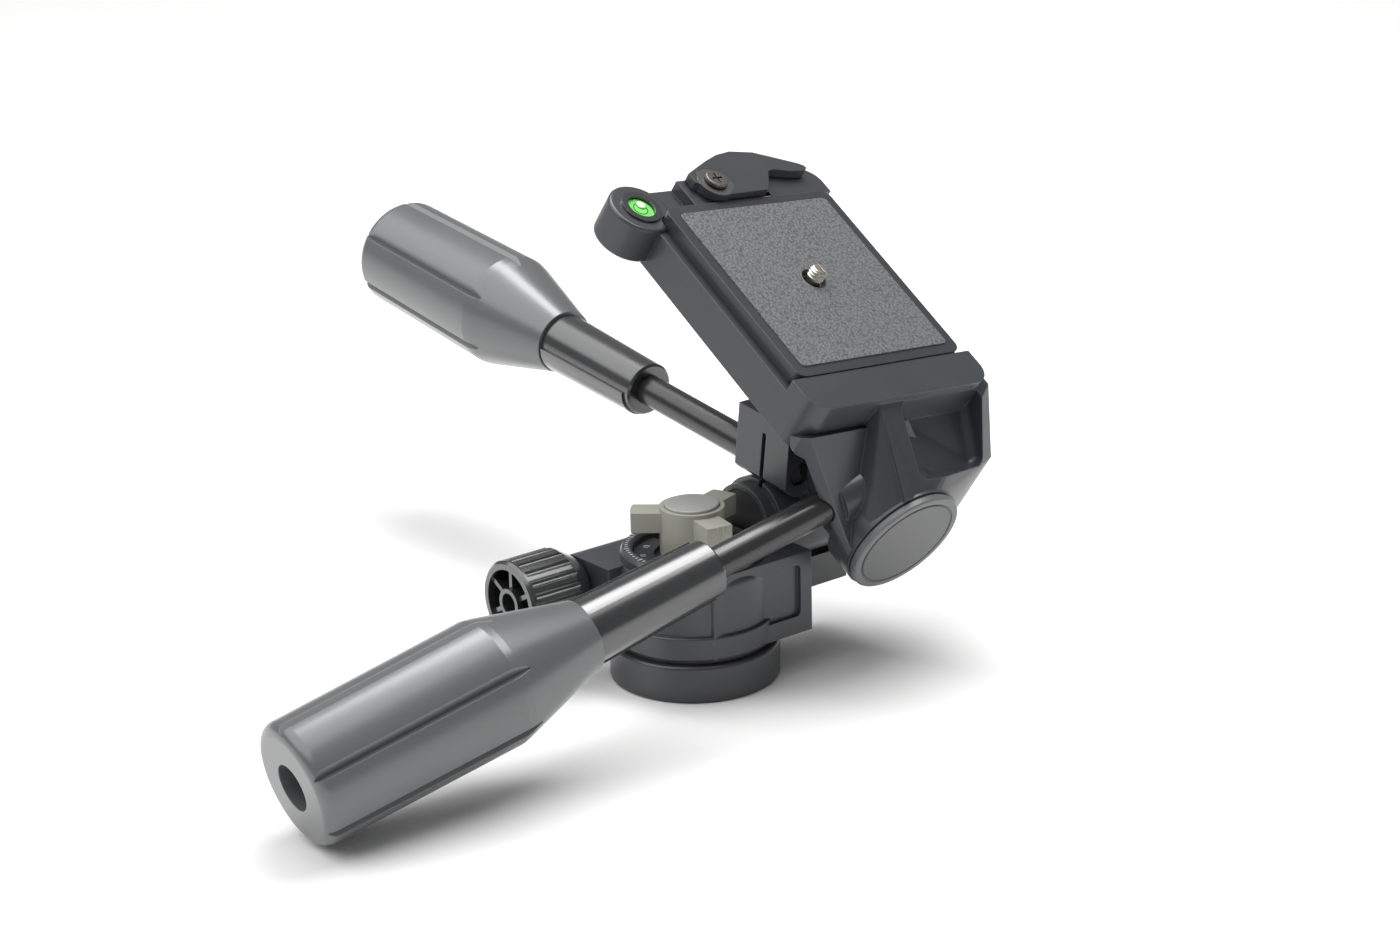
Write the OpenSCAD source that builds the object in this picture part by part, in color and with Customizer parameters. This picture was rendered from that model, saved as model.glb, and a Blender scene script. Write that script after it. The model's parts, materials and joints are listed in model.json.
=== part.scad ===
// Three way pan and tilt head, drawn in millimetres with its own joints posed as photographed.
// The origin is on the pan axis at the underside of the base, and +Z is up.
// +X runs along the front tilt axis, and -Y is the side that the lens looks towards.

/* [Pose] */
// Angle that the lens side is tipped down from level
front_tilt = 32; // [0:0.5:45]
// Angle that the platform's right side is tipped down from level
side_tilt = 6.6; // [0:0.1:12]

/* [Base] */
// Diameter of the base disc
base_d = 60; // [56:1:66]
// Height of the base disc
base_h = 13.4; // [12:0.2:16]
// Rounding of the base disc's edges
base_edge = 1.2; // [0.5:0.1:2]
// Radius of the hole under the 3/8 inch thread
socket_r = 3.97; // [3.9:0.01:4.1]
// Height of the threaded insert
insert_h = 9.4; // [8:0.2:10]
// Thickness of the friction washer between base and housing
pan_washer_h = 1.6; // [1:0.1:2.4]

/* [Pan housing] */
// Diameter of the round skirt
skirt_d = 57; // [54:0.5:60]
// Height of the round skirt
skirt_h = 8.4; // [6:0.2:10]
// Radius of the round body above the skirt
body_r = 27; // [25:0.5:28]
// Height of the body's top above the table
body_top = 44.6; // [43:0.2:46]
// Distance of the flat front panel from the pan axis
panel_y = 26; // [25:0.5:27]
// Distance of the panel's right edge from the pan axis
panel_x = 32; // [31:0.5:33]
// Depth of the pocket in the front panel
pocket_depth = 1.6; // [0.8:0.1:2.5]
// Radius of the pan spindle
spindle_r = 8; // [7:0.25:8.5]

/* [Dial and wing knob] */
// Outer radius of the dial ring
dial_r = 25.4; // [24:0.2:26]
// Height of the dial ring above the housing
dial_h = 3; // [2:0.2:4]
// Radius to the tips of the three wings
wing_reach = 21.8; // [20:0.2:22]
// Width of one wing
wing_w = 9.6; // [8:0.2:12]
// Height of the wing knob's cap above the table
wing_top = 62.9; // [61:0.2:64]
// Direction of the first wing
wing_angle = 18; // [0:1:60]

/* [Pan lock] */
// Distance of the pan lock screw behind the pan axis
lock_y = 27; // [26.5:0.5:29]
// Height of the pan lock screw
lock_z = 33; // [31:0.5:34]
// Radius of the pan lock screw
lock_screw_r = 3; // [2.5:0.25:3.5]
// Radius of the ribbed knob
lock_knob_r = 15.2; // [13:0.2:16]
// Length of the ribbed knob
lock_knob_l = 28; // [24:1:32]
// Distance of the knob's inner face from the pan axis
lock_knob_x = 32; // [31.5:0.5:36]
// Number of ribs round the knob
lock_knob_ribs = 22; // [16:1:26]

/* [Front tilt] */
// Height of the front tilt axis
tilt_z = 49.5; // [48.5:0.5:52]
// Radius of the front tilt shaft
tilt_shaft_r = 8; // [7:0.25:8.5]
// Distance of the left cheek's outer face from the pan axis
cheek_x = 22.6; // [22.2:0.2:23.6]
// Thickness of a cheek
cheek_w = 4.6; // [4:0.2:5]
// Radius of a cheek
cheek_r = 14.5; // [13.5:0.25:15]
// Length of the tilt collar between the cheeks
collar_l = 34; // [32:0.5:36]
// Radius of the tilt collar
collar_r = 16; // [15:0.25:16.5]
// Thickness of a friction washer beside the collar
tilt_washer_w = 0.5; // [0.3:0.1:0.8]

/* [Side tilt] */
// Distance of the side tilt axis from the pan axis
side_x = 52; // [51:0.5:54]
// Height of the side tilt axis above the front tilt axis
side_h = 28; // [27.5:0.5:31]
// Radius of the side tilt shaft
side_shaft_r = 8; // [6.5:0.25:8.5]
// Radius of the barrel that holds the side tilt shaft
side_barrel_r = 15.5; // [14:0.25:15.5]
// Radius of the platform's hub
hub_r = 19; // [18:0.25:19.5]
// Radius of the round nose behind the medallion
nose_r = 22.6; // [22:0.1:23]
// Angle that the hood's lower edge slopes forward
hood_slope = 38; // [30:1:45]
// Radius of the medallion
medallion_r = 21.8; // [20:0.1:22]
// Distance of the medallion's face in front of the front tilt axis
medallion_y = 45; // [44:0.5:47]

/* [Handles] */
// Distance of handle 1 from the pan axis along X
tilt_handle_x = 34; // [33.5:0.25:35]
// Distance of handle 1 from the front tilt axis
tilt_handle_offset = 22.5; // [22:0.25:24]
// Angle of handle 1 below the platform
tilt_handle_drop = 24.4; // [15:0.5:30]
// Distance from the foot of handle 1 to its sleeve
tilt_handle_reach = 69.8; // [60:1:90]
// Distance of handle 2 from the side tilt axis
side_handle_offset = 14.2; // [13.5:0.1:15]
// Angle of handle 2 below the platform
side_handle_drop = 18.6; // [10:0.2:20]
// Angle that handle 2 leans towards the lens side
side_handle_lean = 4; // [0:0.5:6]
// Distance from the foot of handle 2 to its sleeve
side_handle_reach = 74.7; // [66:1:90]
// Radius of the handle rods
rod_r = 5.6; // [5:0.1:6]
// Radius of the threaded stud on each rod
stud_r = 4; // [3:0.25:4.2]
// Length of a sleeve outside its grip
sleeve_l = 52.6; // [40:1:60]
// Radius of a sleeve at its inner end
sleeve_r = 9.9; // [9:0.1:10.4]
// Length of a grip
grip_l = 110.5; // [95:1:120]
// Radius of a grip at its neck
grip_neck_r = 12.2; // [11.8:0.1:13]
// Radius of a grip at its widest
grip_r = 22; // [19:0.25:22]
// Radius of a grip at its outer end
grip_end_r = 21.2; // [18:0.2:21.2]
// Number of grooves along a grip
grip_grooves = 6; // [4:1:8]

/* [Platform] */
// Width of the rubber pad
pad_w = 71.4; // [66:0.2:73]
// Length of the rubber pad
pad_l = 76.7; // [70:0.1:78]
// Height of the rubber pad's face above the side tilt axis
pad_h = 42.5; // [42:0.1:45]
// Distance of the pad's middle behind the front tilt axis
pad_y = 44; // [43:0.5:46]
// Rim of the plate round the pad
plate_rim = 4.1; // [3:0.1:4.1]
// Thickness of the quick release plate
plate_t = 5.6; // [5:0.1:6.5]
// Ledge of the platform outside the plate
ledge = 3.6; // [2.5:0.1:4.5]
// Thickness of the platform under the plate
tray_t = 15; // [14:0.25:15.2]
// Length of the platform in front of the plate
front_shelf = 15.2; // [14:0.2:16]
// Length of the platform behind the plate
rear_shelf = 13.5; // [13:0.25:15]
// Radius of the camera screw
camera_screw_r = 3.175; // [3.1:0.025:3.2]
// Length of the camera screw above the pad
camera_screw_l = 5; // [4:0.25:6]

/* [Quick release lever and level] */
// Distance of the lever's pivot left of the platform's middle line
lever_x = 11; // [10:0.5:13]
// Distance of the lever's pivot behind the plate
lever_y = 7.6; // [7.5:0.1:8]
// Thickness of the lever
lever_t = 3.6; // [3:0.2:4]
// Length of the lever from its pivot to its tip
lever_l = 47; // [42:1:50]
// Radius of the washer on the lever
lever_washer_r = 7; // [6:0.25:7.2]
// Radius of the bubble level's window
vial_r = 5.8; // [5:0.1:6.4]
// Radius of the bubble level's housing
level_r = 12; // [11:0.25:13]

/* [Hidden] */
$fn = 72;

// clearances
fit = 0.05;
gap = 0.3;
slot_w = 2;
seat_gap = 0.06;

// colours
housing_c = "#34363a";
gloss_c = "#1c1d20";
grip_c = "#5b5d60";
wing_c = "#9a978c";
cap_c = "#b7b6c2";
steel_c = "#b9bcc0";
brass_c = "#c0a462";
bronze_c = "#8d6f43";
nylon_c = "#d9d8d2";
pad_c = "#4c4e51";
medallion_c = "#707275";
lime_c = "#62d65a";

// base and pan, all heights from the table
base_r = base_d / 2;
flange_r = spindle_r + 4;
insert_r = flange_r - 2;
flange_h = base_h - insert_h;
skirt_z = base_h + pan_washer_h;
skirt_r = skirt_d / 2;
bushing_wall = 2;
body_z = skirt_z + skirt_h;
spindle_top = body_top - 2.6;
dial_z = body_top;
dial_width = 3.4;
wing_hub_r = 12.6;
wing_z = wing_top - 9.6;
wing_h = 7.2;
wing_screw_r = spindle_r / 2;
wing_screw_bottom = 28;
wing_cap_t = 3;
lug_r = 10.5;
lug_end = 31;
ear_end = 12;
panel_left = 12;
lock_screw_grip = 13.9;
nut_r = lock_screw_r * 1.9;
nut_h = 5;

// front tilt, along X
collar_x = cheek_x + cheek_w + tilt_washer_w;
collar_end = collar_x + collar_l;
right_cheek_x = collar_end + tilt_washer_w;
cheek_end = right_cheek_x + cheek_w;
cap_recess = 2;
cap_t = 1.2;
cap_r = cheek_r - 1.9;
arm_front = 5;
arm_back = 14;
arm_bottom = 20;
arm_top = tilt_z - collar_r - 2;
tilt_bore_r = tilt_shaft_r + bushing_wall;
tilt_bushing_l = 11;
clamp_boss_r = 8.6;
clamp_w = tilt_handle_x + rod_r + 2.4 - collar_x;

// side tilt, along Y in the level frame, with the lens side negative
barrel_front = 16.5;
barrel_back = 18;
hub_back = barrel_front + 0.8;
nose_l = 12;
web_t = 4;
rib_x = -11.5;
rib_w = 9;
hood_inset = 0.4;
hood_reach = 16.6;
hood_drop = 25;
medallion_t = 2.8;
nose_y = medallion_y - medallion_t - 0.2;
side_bore_r = side_shaft_r + bushing_wall;
counterbore_r = 14.5;
counterbore_y = nose_y - 8.5;
side_thread_r = 5;
side_washer_t = 1.6;
side_nut_h = 4.6;
shaft_cover = 3;

// platform, in the frame of the side tilt axis
plate_w = pad_w + 2 * plate_rim;
plate_l = pad_l + 2 * plate_rim;
pad_t = 2;
plate_corner = 4;
foot_corner = 6;
tray_top = pad_h - 0.5 - plate_t;
tray_bottom = tray_top - tray_t;
tray_w = plate_w + 2 * ledge;
plate_front = pad_y - plate_l / 2;
plate_back = pad_y + plate_l / 2;
tray_front = plate_front - front_shelf;
tray_back = plate_back + rear_shelf;
shelf_top = pad_h - 1;
foot_w = 56;
foot_l = 58;
foot_t = 3;
cavity_r = 14;
tray_floor = 3;
screw_head_r = 9.4;
screw_head_t = 2.4;
screw_head_z = tray_top + 2 - gap - screw_head_t;
jaw_w = 28;
jaw_t = 1.6;
jaw_travel = 1.6;
lever_screw_r = 3;
lever_screw_depth = 6;
lever_washer_t = 1;
level_h = 15;
vial_depth = 6;
rear_top = tray_top + 4.4;
lever_z = rear_top + gap;
level_x = tray_w / 2 + 1;
level_y = plate_back + 5.2;
level_top = tray_top + 1.5;

// handle stations, from the foot of each handle's axis
tilt_boss_end = 12.4;
side_boss_end = 21.7;
stud_back = 15;
sleeve_end_r = grip_neck_r - 1.3;
sleeve_tail = 14;
rod_end = 22;

// --- frames -------------------------------------------------------------

module at_tilt() {
    translate([0, 0, tilt_z]) rotate([front_tilt, 0, 0]) children();
}

module at_side() {
    at_tilt() translate([side_x, 0, side_h]) rotate([0, side_tilt, 0]) children();
}

module at_tilt_handle() {
    translate([tilt_handle_x, 0, 0]) rotate([-tilt_handle_drop, 0, 0])
        translate([0, 0, tilt_handle_offset]) rotate([-90, 0, 0]) children();
}

module at_side_handle() {
    translate([0, -hub_back - 7, 0]) rotate([0, 0, side_handle_lean]) rotate([0, -side_handle_drop, 0])
        translate([0, 0, side_handle_offset]) rotate([0, -90, 0]) children();
}

// --- shared shapes ------------------------------------------------------

// A disc with rounded rims, standing on z = 0
module soft_disc(r, h, edge) {
    rotate_extrude() {
        square([r - edge, h]);
        translate([0, edge]) square([r, h - 2 * edge]);
        translate([r - edge, edge]) circle(r = edge, $fn = 32);
        translate([r - edge, h - edge]) circle(r = edge, $fn = 32);
    }
}

module tube(r_out, r_in, h) {
    difference() {
        cylinder(r = r_out, h = h);
        translate([0, 0, -1]) cylinder(r = r_in, h = h + 2);
    }
}

// A cylinder along +X from x
module along_x(r, x, l) {
    translate([x, 0, 0]) rotate([0, 90, 0]) cylinder(r = r, h = l);
}

// A cylinder along -Y that starts at y, which is negative towards the lens side
module along_y(r, y, l) {
    translate([0, y, 0]) rotate([90, 0, 0]) cylinder(r = r, h = l);
}

// A flat bar with round corners, centred in x and y
module round_bar(w, l, h, r) {
    linear_extrude(h) {
        square([w - 2 * r, l], center = true);
        square([w, l - 2 * r], center = true);
        for (x = [-1, 1], y = [-1, 1])
            translate([x * (w / 2 - r), y * (l / 2 - r)]) circle(r = r);
    }
}

// --- base ---------------------------------------------------------------

module base_disc() {
    color(housing_c) difference() {
        soft_disc(base_r, base_h, base_edge);
        translate([0, 0, -1]) cylinder(r = insert_r, h = base_h + 2);
        translate([0, 0, insert_h]) cylinder(r = flange_r, h = base_h);
        for (a = [0 : 120 : 240])
            rotate(a) translate([base_r - 7, 0, -1]) cylinder(r = 2, h = 5);
    }
}

module threaded_insert() {
    color(brass_c) tube(insert_r - fit, socket_r, insert_h);
}

module pan_spindle() {
    color(steel_c) translate([0, 0, insert_h]) difference() {
        union() {
            cylinder(r = flange_r - fit, h = flange_h);
            cylinder(r = spindle_r, h = spindle_top - insert_h);
        }
        translate([0, 0, wing_screw_bottom - insert_h - 2])
            cylinder(r = wing_screw_r + fit, h = spindle_top);
    }
}

module pan_washer() {
    color(nylon_c) translate([0, 0, base_h + seat_gap / 2])
        tube(skirt_r - 1.5, flange_r + 1, pan_washer_h - seat_gap);
}

// --- pan housing --------------------------------------------------------

// Round body with a soft shoulder under the dial
module round_body() {
    shoulder_r = 5;
    shoulder = body_top - shoulder_r;
    translate([0, 0, skirt_z]) soft_disc(skirt_r, skirt_h, 0.8);
    rotate_extrude() {
        translate([0, body_z - 1]) square([body_r, shoulder - body_z + 1]);
        translate([0, shoulder]) square([dial_r, body_top - shoulder]);
        intersection() {
            translate([body_r - shoulder_r, shoulder]) circle(r = shoulder_r);
            translate([0, shoulder]) square([body_r, shoulder_r]);
        }
    }
}

// Flat-sided block with the recessed front panel
module panel_block() {
    pocket_x0 = -panel_left + 7;
    pocket_w = panel_x - 5 - pocket_x0;
    pocket_z0 = skirt_z + 6.5;
    pocket_h = body_top - 4 - pocket_z0;
    difference() {
        translate([-panel_left, -panel_y, skirt_z])
            cube([panel_left + panel_x, panel_y + body_r / 2 + 4.5, body_top - skirt_z]);
        translate([pocket_x0 + pocket_w / 2, -panel_y + pocket_depth, pocket_z0 + pocket_h / 2])
            rotate([90, 0, 0]) round_bar(pocket_w, pocket_h, pocket_depth + 1, 2);
        translate([panel_x - 6, panel_y / 2, skirt_z - 1])
            cube([7, body_r, body_top]);
    }
}

// Split lug that the pan lock screw draws together
module lock_lug() {
    translate([-lug_end, 0, 0]) rotate([90, 0, 90]) linear_extrude(lug_end + ear_end) {
        translate([lock_y, lock_z]) circle(r = lug_r);
        translate([8, lock_z - lug_r]) square([lock_y - 8, 2 * lug_r]);
    }
}

module cheek(x) {
    translate([0, 0, tilt_z]) along_x(cheek_r, x, cheek_w);
    translate([x, -arm_front, arm_bottom])
        cube([cheek_w, arm_front + arm_back, tilt_z - arm_bottom]);
}

module pan_housing() {
    color(housing_c) difference() {
        union() {
            round_body();
            panel_block();
            lock_lug();
            cheek(cheek_x);
            cheek(right_cheek_x);
            translate([body_r / 2, -arm_front, arm_bottom])
                cube([cheek_end - body_r / 2, arm_front + arm_back, arm_top - arm_bottom]);
        }
        translate([0, 0, skirt_z - 1]) cylinder(r = spindle_r + bushing_wall, h = body_top);
        translate([0, 0, spindle_top + 1]) cylinder(r = wing_hub_r + 1, h = body_top);
        translate([-slot_w / 2, spindle_r, body_z]) cube([slot_w, lock_y + lug_r, body_top]);
        translate([0, lock_y, lock_z]) along_x(lock_screw_r + 2 * fit, -lug_end - 1, lug_end + ear_end + 2);
        translate([0, lock_y, lock_z]) along_x(nut_r + gap, ear_end, nut_h + 5);
        translate([0, 0, tilt_z]) {
            along_x(collar_r + 1.2, cheek_x + cheek_w, right_cheek_x - cheek_x - cheek_w);
            along_x(tilt_shaft_r + fit / 2, cheek_x - 1, cheek_end - cheek_x + 2);
            along_x(cap_r + fit, cheek_x - 1, cap_recess + 1);
            along_x(cap_r + fit, cheek_end - cap_recess, cap_recess + 1);
        }
        translate([cheek_x + cheek_w, -arm_front - 1, arm_top])
            cube([right_cheek_x - cheek_x - cheek_w, arm_front + arm_back + 2, tilt_z]);
    }
}

module pan_bushing() {
    color(bronze_c) difference() {
        translate([0, 0, skirt_z + fit])
            tube(spindle_r + bushing_wall - fit, spindle_r + fit, spindle_top - skirt_z - 2 * fit);
        translate([-slot_w / 2, 0, body_z]) cube([slot_w, spindle_r * 2, body_top]);
    }
}

module dial_ring() {
    color(housing_c) difference() {
        translate([0, 0, dial_z]) rotate_extrude()
            polygon([[dial_r - dial_width - 1, 0], [dial_r, 0], [dial_r, dial_h - 1.4],
                [dial_r - 0.8, dial_h - 0.3], [dial_r - dial_width, dial_h],
                [dial_r - dial_width - 1, dial_h - 1]]);
        translate([0, 0, tilt_z]) along_x(cheek_r + gap, cheek_x - gap, dial_r);
    }
}

module pan_lock_nut() {
    color(steel_c) translate([ear_end, lock_y, lock_z]) rotate([0, 90, 0]) difference() {
        cylinder(r = nut_r, h = nut_h, $fn = 6);
        translate([0, 0, -1]) cylinder(r = lock_screw_r + fit, h = nut_h + 2);
    }
}

module tilt_shaft() {
    color(steel_c) translate([0, 0, tilt_z])
        along_x(tilt_shaft_r, cheek_x + cap_recess, cheek_end - cheek_x - 2 * cap_recess);
}

module tilt_end_caps() {
    color(gloss_c) translate([0, 0, tilt_z]) {
        along_x(cap_r, cheek_x + cap_recess - cap_t, cap_t);
        along_x(cap_r, cheek_end - cap_recess, cap_t);
    }
}

module tilt_washers() {
    color(nylon_c) for (x = [cheek_x + cheek_w, collar_end])
        translate([x, 0, tilt_z]) rotate([0, 90, 0]) translate([0, 0, fit / 2])
            tube(cheek_r - 0.5, tilt_shaft_r + fit, tilt_washer_w - fit);
}

// --- wing knob ----------------------------------------------------------

module wing() {
    root = wing_hub_r - 3;
    flutes = 5;
    difference() {
        linear_extrude(wing_h) {
            translate([root, -wing_w / 2]) square([wing_reach - root - 1.5, wing_w]);
            intersection() {
                circle(r = wing_reach - 0.3);
                translate([root, -wing_w / 2]) square([wing_reach, wing_w]);
            }
        }
        for (i = [0 : flutes - 1])
            translate([wing_reach + 0.2, (i - (flutes - 1) / 2) * wing_w / flutes, -1])
                cylinder(r = 0.7, h = wing_h + 2, $fn = 24);
    }
}

module wing_knob() {
    color(wing_c) difference() {
        union() {
            translate([0, 0, dial_z + gap]) cylinder(r = wing_hub_r - 1.2, h = wing_top - dial_z - gap - 1);
            translate([0, 0, wing_z]) for (a = [0 : 120 : 240])
                rotate(wing_angle + a) wing();
        }
        translate([0, 0, wing_top - wing_cap_t]) cylinder(r = wing_hub_r - 2.9, h = wing_cap_t + 1);
        translate([0, 0, dial_z - 1]) cylinder(r = wing_screw_r, h = wing_top);
    }
}

module wing_knob_cap() {
    color(cap_c) translate([0, 0, wing_top - wing_cap_t]) soft_disc(wing_hub_r - 3.1, wing_cap_t, 0.6);
}

module wing_knob_screw() {
    color(steel_c) translate([0, 0, wing_screw_bottom])
        cylinder(r = wing_screw_r, h = wing_top - wing_cap_t - wing_screw_bottom);
}

// --- pan lock knob ------------------------------------------------------

module pan_lock_knob() {
    wall = 3;
    hub = 5.4;
    spoke_w = 1.6;
    scallop_r = 1.6;
    scallop_out = 0.75;
    color(gloss_c) translate([-lock_knob_x - lock_knob_l, lock_y, lock_z]) rotate([0, 90, 0]) difference() {
        rotate_extrude() polygon([[0, 0], [lock_knob_r - 1, 0], [lock_knob_r, 1],
            [lock_knob_r, lock_knob_l * 0.72], [lock_knob_r - 3.4, lock_knob_l - 2],
            [lock_knob_r - 5, lock_knob_l], [0, lock_knob_l]]);
        difference() {
            translate([0, 0, -1]) cylinder(r = lock_knob_r - wall, h = lock_knob_l - 2 * wall);
            cylinder(r = hub, h = lock_knob_l);
            for (a = [0 : 60 : 300])
                rotate(a) translate([0, -spoke_w / 2, 1.2]) cube([lock_knob_r, spoke_w, lock_knob_l]);
        }
        translate([0, 0, -1]) cylinder(r = hub - 1.6, h = 7);
        translate([0, 0, lock_knob_l - lock_screw_grip - 2 * fit]) cylinder(r = lock_screw_r, h = lock_knob_l);
        for (i = [0 : lock_knob_ribs - 1])
            rotate(i * 360 / lock_knob_ribs) translate([lock_knob_r + scallop_out, 0, 2])
                cylinder(r = scallop_r, h = lock_knob_l, $fn = 24);
    }
}

module pan_lock_screw() {
    color(steel_c) translate([-lock_knob_x - lock_screw_grip, lock_y, lock_z]) rotate([0, 90, 0])
        cylinder(r = lock_screw_r, h = lock_knob_x + lock_screw_grip + ear_end + nut_h + 1);
}

// --- tilt body ----------------------------------------------------------

// Split ears beside the collar that handle 1 draws together
module clamp_ears() {
    at_tilt_handle() translate([collar_x - tilt_handle_x, 4 - tilt_handle_offset, -stud_back])
        cube([clamp_w, tilt_handle_offset - 4, stud_back + tilt_boss_end]);
}

module clamp_head() {
    at_tilt_handle() translate([collar_x - tilt_handle_x + clamp_w / 2, 0, -stud_back])
        intersection() {
            cylinder(r = clamp_boss_r, h = stud_back + tilt_boss_end);
            translate([-clamp_w / 2, -clamp_boss_r - 1, 0])
                cube([clamp_w, 2 * clamp_boss_r + 2, stud_back + tilt_boss_end]);
        }
}

module tilt_body() {
    web_inset = 3;
    color(housing_c) at_tilt() difference() {
        union() {
            along_x(collar_r, collar_x + fit / 2, collar_l - fit);
            translate([side_x, 0, side_h]) along_y(side_barrel_r, barrel_back, barrel_front + barrel_back);
            translate([side_x - side_barrel_r + 1.5, web_inset - barrel_front, 4])
                cube([collar_end - side_x + side_barrel_r - 1.5,
                    barrel_front + barrel_back - 2 * web_inset, side_h - 4]);
            clamp_ears();
            clamp_head();
        }
        along_x(tilt_bore_r, collar_x - 1, collar_l + 2);
        translate([side_x, 0, side_h])
            along_y(side_shaft_r, barrel_back - shaft_cover, barrel_front + barrel_back);
        at_tilt_handle() translate([0, 0, -stud_back - 1])
            cylinder(r = stud_r + gap, h = stud_back + tilt_boss_end + 2);
        rotate([-tilt_handle_drop, 0, 0]) translate([collar_x - 1, -slot_w / 2 - 2, 0])
            cube([side_x - side_barrel_r - collar_x + 1, slot_w, tilt_handle_offset + 12]);
    }
}

module tilt_bushings() {
    color(bronze_c) at_tilt() for (x = [collar_x + fit, collar_end - fit - tilt_bushing_l])
        translate([x, 0, 0]) rotate([0, 90, 0]) tube(tilt_bore_r - fit, tilt_shaft_r + fit, tilt_bushing_l);
}

module side_shaft() {
    shoulder = counterbore_y + side_washer_t;
    color(steel_c) at_tilt() translate([side_x, 0, side_h]) {
        along_y(side_shaft_r - fit / 2, barrel_back - shaft_cover, shoulder + barrel_back - shaft_cover);
        along_y(side_thread_r, -shoulder, side_nut_h + 0.6);
    }
}

module side_washer() {
    color(steel_c) at_tilt() translate([side_x, -counterbore_y - seat_gap, side_h])
        rotate([90, 0, 0]) tube(counterbore_r - 1, side_shaft_r + fit, side_washer_t - seat_gap);
}

module side_nut() {
    color(steel_c) at_tilt() translate([side_x, -counterbore_y - side_washer_t, side_h])
        rotate([90, 0, 0]) difference() {
            cylinder(r = side_thread_r * 1.9, h = side_nut_h, $fn = 6);
            translate([0, 0, -1]) cylinder(r = side_thread_r, h = side_nut_h + 2);
        }
}

// --- handles, drawn along +Z from the foot of the axis --------------------

module handle_rod(start, reach) {
    color(gloss_c) {
        translate([0, 0, -stud_back + 1]) cylinder(r = stud_r, h = start + stud_back);
        translate([0, 0, start + gap])
            cylinder(r = rod_r, h = reach + sleeve_l + grip_l - rod_end - start - gap);
    }
}

// The lower half of a sleeve is a thicker shell, which ends short of the sleeve
module handle_sleeve(reach, lower) {
    shell = 0.8;
    color(gloss_c) translate([0, 0, reach]) difference() {
        union() {
            rotate_extrude() polygon([[0, 0], [sleeve_r - 0.8, 0], [sleeve_r, 0.8],
                [sleeve_end_r, sleeve_l], [sleeve_end_r, sleeve_l + sleeve_tail], [0, sleeve_l + sleeve_tail]]);
            intersection() {
                translate([0, 0, 3]) cylinder(r1 = sleeve_r + shell, r2 = sleeve_end_r + shell, h = sleeve_l - 3.3);
                rotate(lower) translate([0, -2 * sleeve_r, 0]) cube([2 * sleeve_r, 4 * sleeve_r, sleeve_l]);
            }
        }
        translate([0, 0, -1]) cylinder(r = rod_r, h = sleeve_l + 20);
    }
}

module handle_grip(reach) {
    cone_l = 36.5;
    round_r = 4;
    recess_r = 8;
    recess_l = 12;
    groove_start = cone_l - 6;
    groove_rise = 0.62;
    color(grip_c) translate([0, 0, reach + sleeve_l]) difference() {
        rotate_extrude() {
            polygon([[0, 0], [grip_neck_r, 0], [grip_neck_r + 0.4, 1.5], [grip_r - 0.6, cone_l - 3],
                [grip_r, cone_l], [grip_end_r, grip_l - round_r], [grip_end_r - round_r, grip_l - round_r],
                [grip_end_r - round_r, grip_l], [0, grip_l]]);
            translate([grip_end_r - round_r, grip_l - round_r]) circle(r = round_r);
        }
        translate([0, 0, -1]) cylinder(r = rod_r, h = grip_l - rod_end + 1);
        translate([0, 0, -1]) cylinder(r = sleeve_end_r, h = sleeve_tail + 1);
        translate([0, 0, grip_l - recess_l]) cylinder(r = recess_r, h = recess_l + 1);
        for (i = [0 : grip_grooves - 1])
            rotate((i + 0.5) * 360 / grip_grooves) translate([grip_r, 0, groove_start])
                rotate([0, -groove_rise, 0]) linear_extrude(grip_l - groove_start + 2)
                    polygon([[-2, 0], [1, 4.2], [1, -1.4]]);
    }
}

module tilt_handle_rod() { at_tilt() at_tilt_handle() handle_rod(tilt_boss_end, tilt_handle_reach); }
module tilt_handle_sleeve() { at_tilt() at_tilt_handle() handle_sleeve(tilt_handle_reach, 90); }
module tilt_handle_grip() { at_tilt() at_tilt_handle() handle_grip(tilt_handle_reach); }
module side_handle_rod() { at_side() at_side_handle() handle_rod(side_boss_end, side_handle_reach); }
module side_handle_sleeve() { at_side() at_side_handle() handle_sleeve(side_handle_reach, 150); }
module side_handle_grip() { at_side() at_side_handle() handle_grip(side_handle_reach); }

// --- platform -----------------------------------------------------------

// Slab under the plate with raised front and rear shelves
module tray() {
    corner = 8;
    middle = (tray_front + tray_back) / 2;
    length = tray_back - tray_front;
    translate([0, middle, tray_bottom]) round_bar(tray_w, length, tray_t, corner);
    intersection() {
        translate([0, middle, tray_bottom]) round_bar(tray_w, length, shelf_top - tray_bottom, corner);
        translate([-tray_w / 2, tray_front, tray_bottom])
            cube([tray_w, front_shelf - gap, shelf_top - tray_bottom]);
    }
    intersection() {
        translate([0, middle, tray_bottom]) round_bar(tray_w, length, rear_top - tray_bottom, corner);
        translate([-tray_w / 2 + 20, plate_back + gap, tray_bottom])
            cube([tray_w, rear_shelf, rear_top - tray_bottom]);
    }
    difference() {
        translate([-level_x, level_y, level_top - level_h]) soft_disc(level_r, level_h, 1.2);
        translate([0, pad_y, tray_top]) round_bar(plate_w + 2 * gap, plate_l + 2 * gap, plate_t, plate_corner);
    }
}

// Front edge of the tray that the hood grows from, between two places across the head
module hood_root(left, right) {
    translate([left, tray_front + hood_inset, tray_bottom + 1])
        cube([right - left, web_t, shelf_top - tray_bottom - 3.4]);
}

module nose_disc() {
    along_y(nose_r - 0.2, -nose_y + nose_l, nose_l - 0.5, $fn = 48);
}

// Thin web on the left, which slopes forward from the tray to the hub
module left_web() {
    intersection() {
        hull() {
            hood_root(-tray_w / 2 + hood_inset, 0);
            nose_disc();
        }
        translate([-tray_w, -hub_back, tray_bottom]) rotate([-hood_slope, 0, 0])
            translate([0, -web_t, -4 * nose_r]) cube([2 * tray_w, 2 * web_t, 4 * nose_r + 8]);
    }
}

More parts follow.
